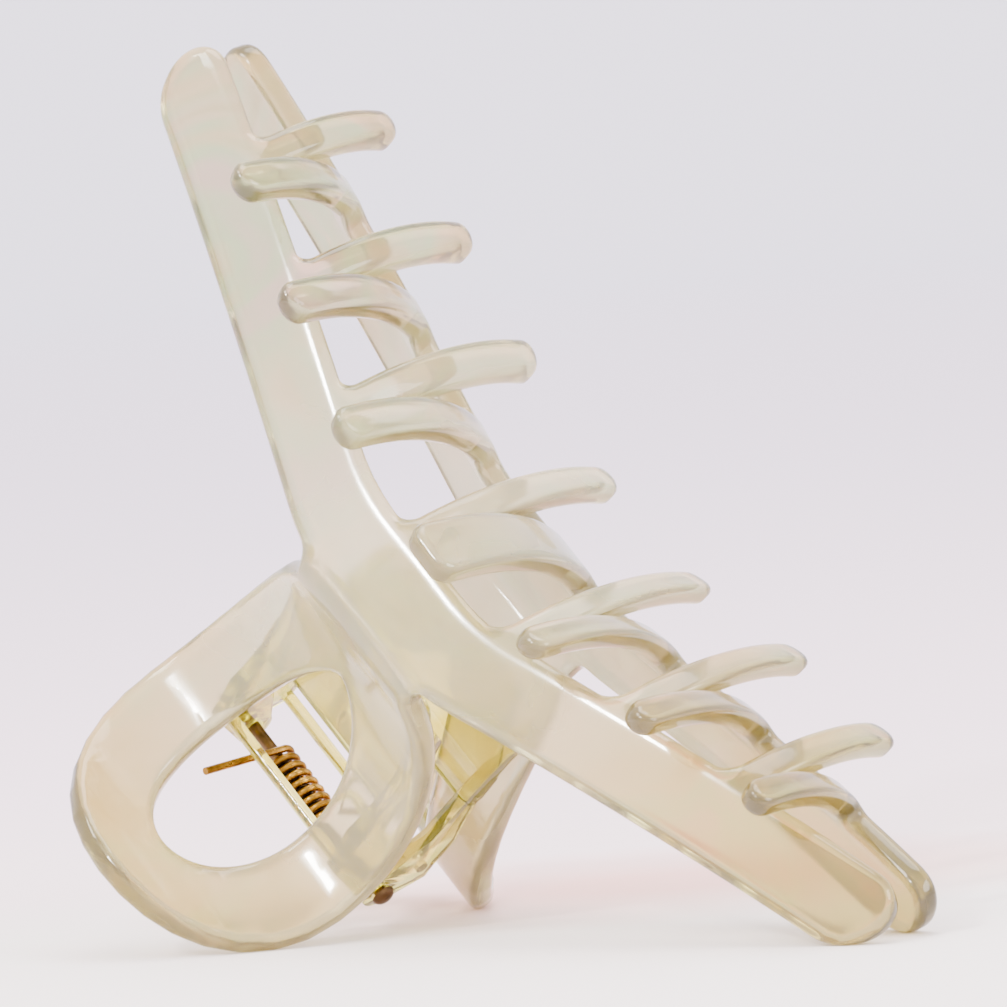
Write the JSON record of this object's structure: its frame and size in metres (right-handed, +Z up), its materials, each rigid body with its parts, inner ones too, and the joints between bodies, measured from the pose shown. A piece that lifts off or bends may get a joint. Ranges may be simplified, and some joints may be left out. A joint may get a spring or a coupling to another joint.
{
  "type": "claw hair clip",
  "caption": "Spring-loaded claw hair clip with two curved toothed jaws, open finger loops and a clear pinned hinge, lying on its loops and bar tips.",
  "frame": {"origin": "centre of the footprint on the surface that the clip lies on, with the clip lying on its two finger loops and its lower bar tips", "axes": "+Z up from the surface; -Y faces out of the front jaw; the hinge pin lies in the XZ plane, its low end towards +X"},
  "size_m": [0.0778, 0.0474, 0.0788],
  "materials": {
    "pearl_plastic": "milky pearl, glossy, slightly translucent",
    "clear_plastic": "clear with a yellow-green tint at its edges, glossy",
    "dark_pin": "dark brown bronzed steel",
    "bronze_wire": "bronze-coloured spring wire"
  },
  "bodies": {
    "front": {"front_jaw": "pearl_plastic", "front_hinge_leaf": "clear_plastic", "hinge_pin": "dark_pin", "torsion_spring": "bronze_wire"},
    "rear": {"rear_jaw": "pearl_plastic", "rear_hinge_leaf": "clear_plastic"}
  },
  "joints": [
    {"name": "jaw_opening", "type": "hinge", "parent": "front", "child": "rear", "pos_m": [-0.02775, 0, 0.01172], "axis": [-0.6789, 0, 0.7342], "range_deg": [0, 60], "stiffness_Nm_per_rad": 0.1, "springref_deg": -57.3, "deforming": ["torsion_spring"]}
  ]
}
